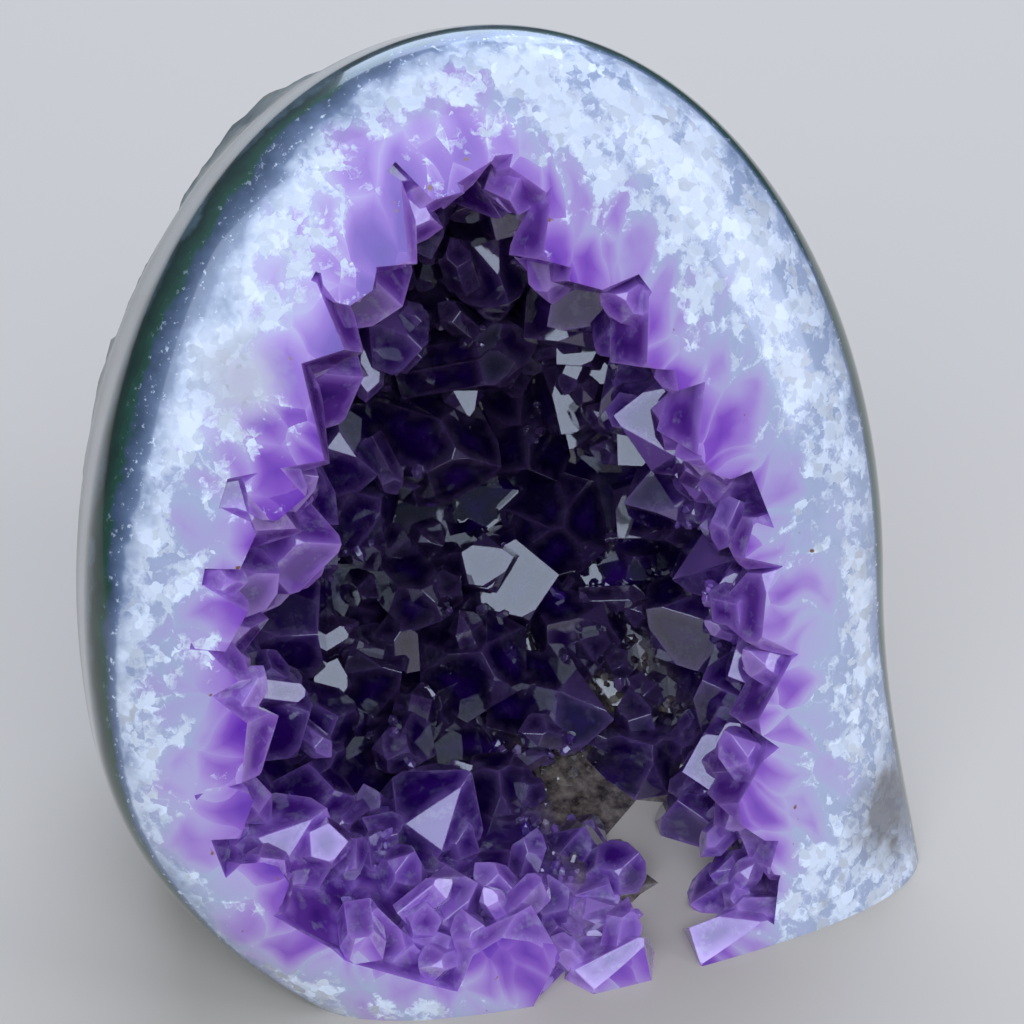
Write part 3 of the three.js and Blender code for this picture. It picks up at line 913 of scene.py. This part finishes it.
def quartz_look(tree):
    """The look that the wall and the crust share where both are cut through. It gives the place that
    patterns read, the colour, the way that broken planes inside face, and where they show, painted
    near-white there, partly as the quartz's own white fractures and partly as painted glints."""
    place = add(tree, "ShaderNodeTexCoord").outputs["Object"]
    growth, frost = (
        add(tree, "ShaderNodeAttribute", attribute_name=name).outputs["Fac"]
        for name in ("growth", "frost"))
    around = add(tree, "ShaderNodeAttribute", attribute_name="around").outputs["Vector"]
    # crystals stand side by side, longer than wide, square to the rind, with a riper core
    stretched = add(tree, "ShaderNodeVectorMath", (around, CUT_CRYSTAL), operation="DIVIDE")
    cell = add(tree, "ShaderNodeTexVoronoi", {"Vector": stretched, "Scale": 1})
    edge = add(tree, "ShaderNodeTexVoronoi", {
        "Vector": stretched, "Scale": 1}, feature="DISTANCE_TO_EDGE")
    own = add(tree, "ShaderNodeSeparateColor", (cell.outputs["Color"],))
    core = add(tree, "ShaderNodeMapRange", (edge, 0, 0.3, -3, 2))
    ripe = add(tree, "ShaderNodeMath", (own, 5, growth), operation="MULTIPLY_ADD")
    ripe = add(tree, "ShaderNodeMath", (ripe, core), operation="ADD")
    share = add(tree, "ShaderNodeMapRange", (ripe, 0, 26))
    tint = add(tree, "ShaderNodeValToRGB", (share,), stops=(
        (0, "#b0bad2"), (0.2, "#bcc1da"), (0.34, "#c2b2dc"), (0.46, "#b48cd6"),
        (0.58, "#9358c4"), (0.75, "#6a28ae"), (1, "#47109a")))
    # ice, as if crushed: planes a millimetre or two across, that each catch the light by itself; where
    # the ice shows, the colour is painted near-white, partly the quartz's own white fractures and partly
    # painted glints
    torn = add(tree, "ShaderNodeTexNoise", {
        "Vector": place, "Scale": per_mm(TORN_OVER), "Detail": 1}).outputs["Color"]
    torn = add(
        tree, "ShaderNodeVectorMath", (torn, (TORN_BY * MM,) * 3, place), operation="MULTIPLY_ADD")
    shard = add(tree, "ShaderNodeTexVoronoi", {
        "Vector": torn, "Scale": per_mm(SHARD_WIDTH), "Randomness": 1}).outputs["Color"]
    tilt = add(tree, "ShaderNodeVectorMath", (shard, (0.5,) * 3), operation="SUBTRACT")
    normal = add(tree, "ShaderNodeNewGeometry").outputs["Normal"]
    tilted = add(
        tree, "ShaderNodeVectorMath", (tilt, (0.9,) * 3, normal), operation="MULTIPLY_ADD")
    tilted = add(tree, "ShaderNodeVectorMath", (tilted,), operation="NORMALIZE")
    bright = add(tree, "ShaderNodeSeparateColor", (shard,)).outputs[1]
    flake = add(tree, "ShaderNodeTexNoise", {
        "Vector": torn, "Scale": per_mm(FLAKE_WIDTH), "Detail": 3, "Roughness": 0.7})
    ice = flake
    for more in (
        add(tree, "ShaderNodeMapRange", (frost, 0.4, 0.7)),
        add(tree, "ShaderNodeMapRange", (bright, 0, 1, -0.25, 0.35)),
        add(tree, "ShaderNodeMapRange", (ripe, 2, 14, 0.35, -0.8)),
    ):
        ice = add(tree, "ShaderNodeMath", (ice, more), operation="ADD")
    ice = add(tree, "ShaderNodeMapRange", (ice, 0.9, 1.22))
    # painted near-white where the ice shows: partly the quartz's white fractures, partly painted glints
    tint = add(tree, "ShaderNodeMix", {0: ice, 6: tint, 7: colour("#f1f6ff")}, data_type="RGBA")
    cream = add(
        tree, "ShaderNodeMath", (patch_round(tree, torn, CREAM_PATCH), 0.85), operation="MULTIPLY")
    tint = add(tree, "ShaderNodeMix", {0: cream, 6: tint, 7: colour("#c0bcc2")}, data_type="RGBA")
    return place, tint, tilted, ice


def weathered_stone():
    """The wall. Its outside is a mottled brown and grey-green rind, rough at the back and glossy
    where it is polished. In the rim come a dark green line, blue-grey agate with white specks, and
    quartz that looks like crushed ice, its white flecks partly the quartz's own and partly painted
    glints."""
    material, tree = new_material("banded agate, quartz and weathered rind")
    place, quartz, tilted, ice = quartz_look(tree)
    band, rough, weathered, sawn, from_stone = (
        add(tree, "ShaderNodeAttribute", attribute_name=name).outputs["Fac"]
        for name in ("band", "rough", "weathered", "sawn", "from_stone"))
    # the bands, with rippled borders
    ripple = add(tree, "ShaderNodeTexNoise", {
        "Vector": place, "Scale": per_mm(BAND_RIPPLE), "Detail": 3, "Roughness": 0.65})
    wavy = add(tree, "ShaderNodeMath", (ripple, 1.4, -0.7), operation="MULTIPLY_ADD")
    wavy = add(tree, "ShaderNodeMath", (wavy, band), operation="ADD")
    share = add(tree, "ShaderNodeMapRange", (wavy, 0, 3))
    front = add(tree, "ShaderNodeValToRGB", (share,), stops=(
        (0, "#53646a"), (0.1, "#1b3029"), (0.31, "#28503f"), (0.37, "#44566e"),
        (0.55, "#6d7d98"), (0.66, "#8e9db8"), (1, "#b9c2d8")))
    speck = add(tree, "ShaderNodeTexNoise", {
        "Vector": place, "Scale": per_mm(AGATE_SPECK), "Detail": 3, "Roughness": 0.7})
    speck = add(tree, "ShaderNodeMapRange", (speck, 0.6, 0.68))
    in_agate = add(tree, "ShaderNodeMapRange", (wavy, 0.7, 1.5))
    speck = add(tree, "ShaderNodeMath", (speck, in_agate), operation="MULTIPLY")
    front = add(tree, "ShaderNodeMix", {0: speck, 6: front, 7: colour("#dde6f2")}, data_type="RGBA")
    in_quartz = add(tree, "ShaderNodeMapRange", (wavy, 1.8, 2.3))
    front = add(tree, "ShaderNodeMix", {0: in_quartz, 6: front, 7: quartz}, data_type="RGBA")
    smoky = add(
        tree, "ShaderNodeMath", (patch_round(tree, place, SMOKY_PATCH), ripple),
        operation="MULTIPLY")
    smoky = add(tree, "ShaderNodeMapRange", (smoky, 0.1, 0.45, 0, 0.85))
    front = add(tree, "ShaderNodeMix", {0: smoky, 6: front, 7: colour("#68625f")}, data_type="RGBA")
    mottle = add(tree, "ShaderNodeTexNoise", {
        "Vector": place, "Scale": per_mm(RIND_MOTTLE), "Detail": 3, "Roughness": 0.65})
    rind = add(tree, "ShaderNodeValToRGB", (mottle,), stops=(
        (0.3, "#2f3c38"), (0.45, "#4b5a55"), (0.55, "#66706a"), (0.64, "#7c7260"),
        (0.75, "#8a7a62")))
    tint = add(tree, "ShaderNodeMix", {0: weathered, 6: front, 7: rind}, data_type="RGBA")
    icy = add(tree, "ShaderNodeMath", (in_quartz, ice), operation="MULTIPLY")
    smooth = add(tree, "ShaderNodeNewGeometry").outputs["Normal"]
    normal = add(tree, "ShaderNodeMix", {0: icy, 4: smooth, 5: tilted}, data_type="VECTOR")
    dull = add(tree, "ShaderNodeMath", (rough, sawn), operation="MAXIMUM")
    unpolished = add(tree, "ShaderNodeMath", (weathered, sawn), operation="MAXIMUM")
    # milky quartz, but not at the seam, where the crust goes on
    milky = add(tree, "ShaderNodeMapRange", (in_quartz, 0, 1, 0, 0.4))
    by_seam = add(tree, "ShaderNodeMapRange", (from_stone, -1.5, 0, 1, 0))
    milky = add(tree, "ShaderNodeMath", (milky, by_seam), operation="MULTIPLY")
    surface = add(tree, "ShaderNodeBsdfPrincipled", {
        "Base Color": tint,
        "Roughness": add(tree, "ShaderNodeMapRange", (dull, 0, 1, 0.25, 0.75)),
        "Normal": normal,
        "IOR": AGATE_IOR,
        "Coat Weight": add(tree, "ShaderNodeMapRange", (unpolished, 0, 1, 1, 0)),
        "Coat Roughness": 0.06,
        "Subsurface Weight": milky,
        "Subsurface Radius": (1, 1, 1.2),
        "Subsurface Scale": MILK_DEPTH * MM,
        }, subsurface_method="BURLEY")
    add(tree, "ShaderNodeOutputMaterial", {"Surface": surface})
    return material


def cut_amethyst():
    """The crust where it is cut and polished: first milky, then lilac, then with windows of clear
    violet, each with a pale outline. A few specks of brown iron lie in it."""
    material, tree = new_material("cut amethyst")
    place, tint, tilted, ice = quartz_look(tree)
    from_stone, sawn = (
        add(tree, "ShaderNodeAttribute", attribute_name=name).outputs["Fac"]
        for name in ("from_stone", "sawn"))
    smooth = add(tree, "ShaderNodeNewGeometry").outputs["Normal"]
    normal = add(tree, "ShaderNodeMix", {0: ice, 4: smooth, 5: tilted}, data_type="VECTOR")
    iron = add(tree, "ShaderNodeTexNoise", {
        "Vector": place, "Scale": per_mm(IRON_SPECK), "Detail": 2})
    iron = add(tree, "ShaderNodeMapRange", (iron, 0.74, 0.77))
    tint = add(tree, "ShaderNodeMix", {0: iron, 6: tint, 7: colour("#86583a")}, data_type="RGBA")
    surface = add(tree, "ShaderNodeBsdfPrincipled", {
        "Base Color": tint,
        "Roughness": add(tree, "ShaderNodeMapRange", (sawn, 0, 1, 0.2, 0.65)),
        "Normal": normal,
        "IOR": QUARTZ_IOR,
        "Coat Weight": add(tree, "ShaderNodeMapRange", (sawn, 0, 1, 0.5, 0)),
        "Coat Roughness": 0.05,
        "Coat IOR": 1.5,
        "Subsurface Weight": add(tree, "ShaderNodeMapRange", (from_stone, 0, 1.5, 0, 0.5)),
        "Subsurface Radius": (1, 0.8, 1.3),
        "Subsurface Scale": MILK_DEPTH * MM,
        }, subsurface_method="BURLEY")
    add(tree, "ShaderNodeOutputMaterial", {"Surface": surface})
    return material


def amethyst(name, clear_through=True):
    """The crystals as they grew, with faces like mirrors: milky lilac near the mouth, and clear and a
    deeper violet deep in the hollow, where painted shade takes them nearly to black."""
    material, tree = new_material(name)
    place = add(tree, "ShaderNodeTexCoord").outputs["Object"]
    cloud, inward, thickness, from_crest, bare, bed = (
        add(tree, "ShaderNodeAttribute", attribute_name=name).outputs["Fac"]
        for name in ("cloud", "inward", "thickness", "from_crest", "bare", "bed"))
    veil = add(tree, "ShaderNodeTexNoise", {
        "Vector": place, "Scale": per_mm(VEIL_WIDTH), "Detail": 3, "Roughness": 0.7})
    inward = add(tree, "ShaderNodeMath", (cloud, 20, inward), operation="MULTIPLY_ADD")
    # deeper in the hollow the colour turns a deeper violet and then, as painted shade, nearly black
    deep = add(tree, "ShaderNodeMapRange", (inward, VIOLET_AND_SHADE_FROM, VIOLET_AND_SHADE_TO))
    body = add(tree, "ShaderNodeValToRGB", (deep,), stops=(
        (0, "#9450d0"), (0.35, "#6a26b4"), (0.65, "#3a107c"), (1, "#18083a")))
    # thin places and edges are painted paler: light through thin crystal and highlights along the crests
    # are painted, the crests partly also worn; the painted shade deeper in fades them
    lit_through_thin = add(tree, "ShaderNodeMapRange", (thickness, 0.5, 5, 0.6, 0))
    crest = add(tree, "ShaderNodeMapRange", (from_crest, 0, 1.6, 0.6, 0))
    pale = add(tree, "ShaderNodeMath", (lit_through_thin, crest), operation="ADD", use_clamp=True)
    lit = add(tree, "ShaderNodeMapRange", (deep, 0.1, 1, 1, 0.3))
    pale = add(tree, "ShaderNodeMath", (pale, lit), operation="MULTIPLY")
    body = add(tree, "ShaderNodeMix", {0: pale, 6: body, 7: colour("#c99ce8")}, data_type="RGBA")
    # the middle of some crystals is the most violet
    core = add(tree, "ShaderNodeMapRange", (from_crest, 1.2, 3.2, 0, 0.85))
    ripe = add(tree, "ShaderNodeMapRange", (cloud, 0.38, 0.55))
    core = add(tree, "ShaderNodeMath", (core, ripe), operation="MULTIPLY")
    body = add(tree, "ShaderNodeMix", {0: core, 6: body, 7: colour("#4a1296")}, data_type="RGBA")
    # whitish veils float in them
    wisps = add(tree, "ShaderNodeMapRange", (veil, 0.54, 0.7, 0, 0.45))
    lit = add(tree, "ShaderNodeMapRange", (deep, 0.2, 1, 1, 0.15))
    wisps = add(tree, "ShaderNodeMath", (wisps, lit), operation="MULTIPLY")
    body = add(tree, "ShaderNodeMix", {0: wisps, 6: body, 7: colour("#d8cdee")}, data_type="RGBA")
    # the bare bed over the opening is brown and gritty
    grit = add(tree, "ShaderNodeValToRGB", (veil,), stops=(
        (0.35, "#3c3430"), (0.5, "#6c5f56"), (0.7, "#9a8c7c")))
    bare = add(tree, "ShaderNodeMath", (bare, bed), operation="MULTIPLY")
    body = add(tree, "ShaderNodeMix", {0: bare, 6: body, 7: grit}, data_type="RGBA")
    # only what is neither pale nor bare is clear, the more the deeper it lies
    cloudy = add(tree, "ShaderNodeMath", (pale, bare), operation="ADD", use_clamp=True)
    clear = add(tree, "ShaderNodeMath", (1, cloudy), operation="SUBTRACT")
    most = add(tree, "ShaderNodeMapRange", (deep, 0, 1, 0.5, 0.7)) if clear_through else 0.25
    clear = add(tree, "ShaderNodeMath", (most, clear), operation="MULTIPLY")
    ripple = add(tree, "ShaderNodeTexNoise", {
        "Vector": place, "Scale": per_mm(FACE_RIPPLE), "Detail": 0})
    relief = add(tree, "ShaderNodeBump", {
        "Height": ripple, "Strength": 0.12, "Distance": RIPPLE_DEPTH * MM})
    surface = add(tree, "ShaderNodeBsdfPrincipled", {
        "Base Color": body,
        "Roughness": 0.03,
        "Normal": relief,
        "IOR": QUARTZ_IOR,
        "Transmission Weight": clear,
        "Coat Weight": 1,
        "Coat Roughness": 0.04,
        "Coat IOR": 1.6,
        "Subsurface Weight": add(tree, "ShaderNodeMapRange", (deep, 0, 0.45, 0.5, 0)),
        "Subsurface Radius": (1, 0.8, 1.3),
        "Subsurface Scale": MILK_DEPTH * MM,
        }, subsurface_method="BURLEY")
    output = add(tree, "ShaderNodeOutputMaterial", {"Surface": surface})
    if clear_through:
        absorb = add(tree, "ShaderNodeVolumeAbsorption", {
            "Color": (0.5, 0, 0.757, 1), "Density": 90})
        tree.links.new(absorb.outputs[0], output.inputs["Volume"])
    return material


# ---- Stage, light and camera ----
def camera():
    data = bpy.data.cameras.new("camera")
    data.lens = LENS
    data.clip_start = 0.01
    viewer = bpy.data.objects.new("camera", data)
    bpy.context.scene.collection.objects.link(viewer)
    viewer.location = EYE
    viewer.rotation_euler = (math.pi / 2 - LOOKS_DOWN, 0, -LOOKS_ASIDE)
    bpy.context.scene.camera = viewer


def floor():
    sheet = bmesh.new()
    bmesh.ops.create_grid(sheet, x_segments=1, y_segments=1, size=3)
    table = new_piece("floor", sheet)
    material, tree = new_material("pale matt floor")
    surface = add(tree, "ShaderNodeBsdfPrincipled", {
        "Base Color": colour("#d6c9b8"), "Roughness": 0.7})
    add(tree, "ShaderNodeOutputMaterial", {"Surface": surface})
    table.data.materials.append(material)


def lights():
    """Wide softboxes behind, in front and at the side, and a room that glows faintly blue."""
    for name, place, size, power, tint in SOFTBOXES:
        data = bpy.data.lights.new(name, "AREA")
        data.shape = "RECTANGLE"
        data.size, data.size_y = size
        data.energy = power
        data.color = colour(tint)[:3]
        lamp = bpy.data.objects.new(name, data)
        bpy.context.scene.collection.objects.link(lamp)
        lamp.location = place
        aim = Vector(LIT_POINT) - Vector(place)
        lamp.rotation_euler = aim.to_track_quat("-Z", "Y").to_euler()
    world = bpy.data.worlds.new("studio")
    bpy.context.scene.world = world
    world.use_nodes = True
    tree = world.node_tree
    tree.nodes.clear()
    way = add(tree, "ShaderNodeTexCoord").outputs["Generated"]
    height = add(tree, "ShaderNodeSeparateXYZ", (way,)).outputs[2]
    sky = add(tree, "ShaderNodeValToRGB", (height,), stops=(
        (0, "#5a6474"), (0.25, "#7d8a9e"), (0.6, "#b9c8e0"), (1, "#e8f0ff")))
    glow = add(tree, "ShaderNodeBackground", {"Color": sky, "Strength": ROOM_GLOW})
    add(tree, "ShaderNodeOutputWorld", {"Surface": glow})


# ---- Making it ----
noise.seed_set(SEED)  # without it, noise_vector is shifted by the clock
bpy.context.scene.view_settings.view_transform = "Standard"
camera()
floor()
lights()
wall = stone_wall()
crust = crystal_crust()
for piece, slot, node in (
    (wall, "stone", "stone_wall"),
    (crust, "amethyst", "amethyst_crust"),
    (druse(crust), "amethyst", "amethyst_crust"),
):
    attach(piece, "root")
    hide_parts(node)
